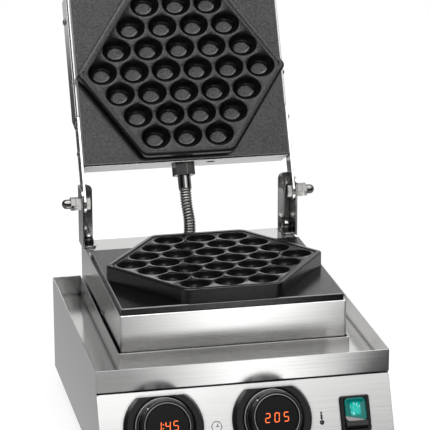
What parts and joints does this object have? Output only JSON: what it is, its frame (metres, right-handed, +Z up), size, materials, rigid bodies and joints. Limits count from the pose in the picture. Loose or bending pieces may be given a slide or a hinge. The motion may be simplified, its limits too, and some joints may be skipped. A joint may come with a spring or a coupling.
{
  "type": "egg waffle pan",
  "caption": "Electric worktop iron for bubble waffles: two hexagonal cast pans with oval cells, lid hinged at the back, drip tray, two dials and a rocker switch on a sloping front.",
  "frame": {"origin": "middle of the footprint of the whole machine with its lid open, on the table", "axes": "+X to the right seen from the front, +Y from the sloping control panel to the back, +Z up"},
  "size_m": [0.299, 0.4644, 0.461],
  "materials": {
    "steel_sheet": "fine brushed stainless sheet",
    "bright_steel": "bright turned or plated steel",
    "hose_steel": "ribbed metal hose",
    "heater_steel": "heat-darkened sheath",
    "cast_iron": "fine-grained dark casting with a non-stick coat",
    "insulation": "ceramic fibre pad",
    "rubber": "matte moulded rubber",
    "black_plastic": "satin black",
    "grip_plastic": "satin black, heat-proof",
    "display_lens": "smooth dark window",
    "switch_lens": "clear tinted window",
    "circuit_board": "lacquered board",
    "ceramic": "glazed"
  },
  "bodies": {
    "base": {"base_shell": "steel_sheet", "bottom_plate": "steel_sheet", "bottom_screws": "bright_steel", "feet": "rubber", "foot_nuts": "bright_steel", "control_panel": "steel_sheet", "heater_housing": "steel_sheet", "housing_screws": "bright_steel", "lower_pan": "cast_iron", "lower_element": "heater_steel", "lower_clamp_plate": "steel_sheet", "lower_insulation": "insulation", "lower_sensor": "heater_steel", "lower_posts": "bright_steel", "left_bracket": "steel_sheet", "right_bracket": "steel_sheet", "bracket_bolts": "bright_steel", "bracket_nuts": "bright_steel", "pivot_bolts": "bright_steel", "pivot_lock_nuts": "bright_steel", "pivot_dome_nuts": "bright_steel", "deck_gland": "bright_steel", "conduit_hose": "hose_steel", "timer_bezel": "black_plastic", "timer_core": "black_plastic", "timer_lens": "display_lens", "thermostat_bezel": "black_plastic", "thermostat_core": "black_plastic", "thermostat_lens": "display_lens", "switch_body": "black_plastic", "control_board": "circuit_board", "board_spacers": "bright_steel", "terminal_block": "ceramic", "cable_inlet": "black_plastic"},
    "lid": {"upper_pan": "cast_iron", "upper_element": "heater_steel", "upper_clamp_plate": "steel_sheet", "upper_insulation": "insulation", "upper_sensor": "heater_steel", "upper_posts": "bright_steel", "lid_case": "steel_sheet", "lid_hood": "steel_sheet", "hood_screws": "bright_steel", "left_arm": "steel_sheet", "right_arm": "steel_sheet", "arm_screws": "bright_steel", "handle_posts": "bright_steel", "handle_grip": "grip_plastic", "lid_gland": "bright_steel", "ferrule": "bright_steel"},
    "tray": {"drip_tray": "steel_sheet"},
    "timer_dial": {"timer_ring": "black_plastic"},
    "thermostat_dial": {"thermostat_ring": "black_plastic"},
    "rocker": {"switch_rocker": "black_plastic", "switch_lens": "switch_lens"}
  },
  "joints": [
    {"name": "lid_hinge", "type": "hinge", "parent": "base", "child": "lid", "pos_m": [0, 0.09393, 0.20966], "axis": [1, 0, 0], "range_deg": [0, 115.5], "deforming": ["conduit_hose"]},
    {"name": "tray_slide", "type": "slide", "parent": "base", "child": "tray", "axis": [0, -1, 0], "range_m": [0, 0.25]},
    {"name": "timer_turn", "type": "hinge", "parent": "base", "child": "timer_dial", "pos_m": [-0.08469, -0.19858, 0.06298], "axis": [0, -0.9063, 0.4226], "continuous": true},
    {"name": "thermostat_turn", "type": "hinge", "parent": "base", "child": "thermostat_dial", "pos_m": [0.02509, -0.19858, 0.06298], "axis": [0, -0.9063, 0.4226], "continuous": true},
    {"name": "switch_rock", "type": "hinge", "parent": "base", "child": "rocker", "pos_m": [0.11041, -0.19786, 0.06099], "axis": [1, 0, 0], "range_deg": [0, 16]}
  ]
}
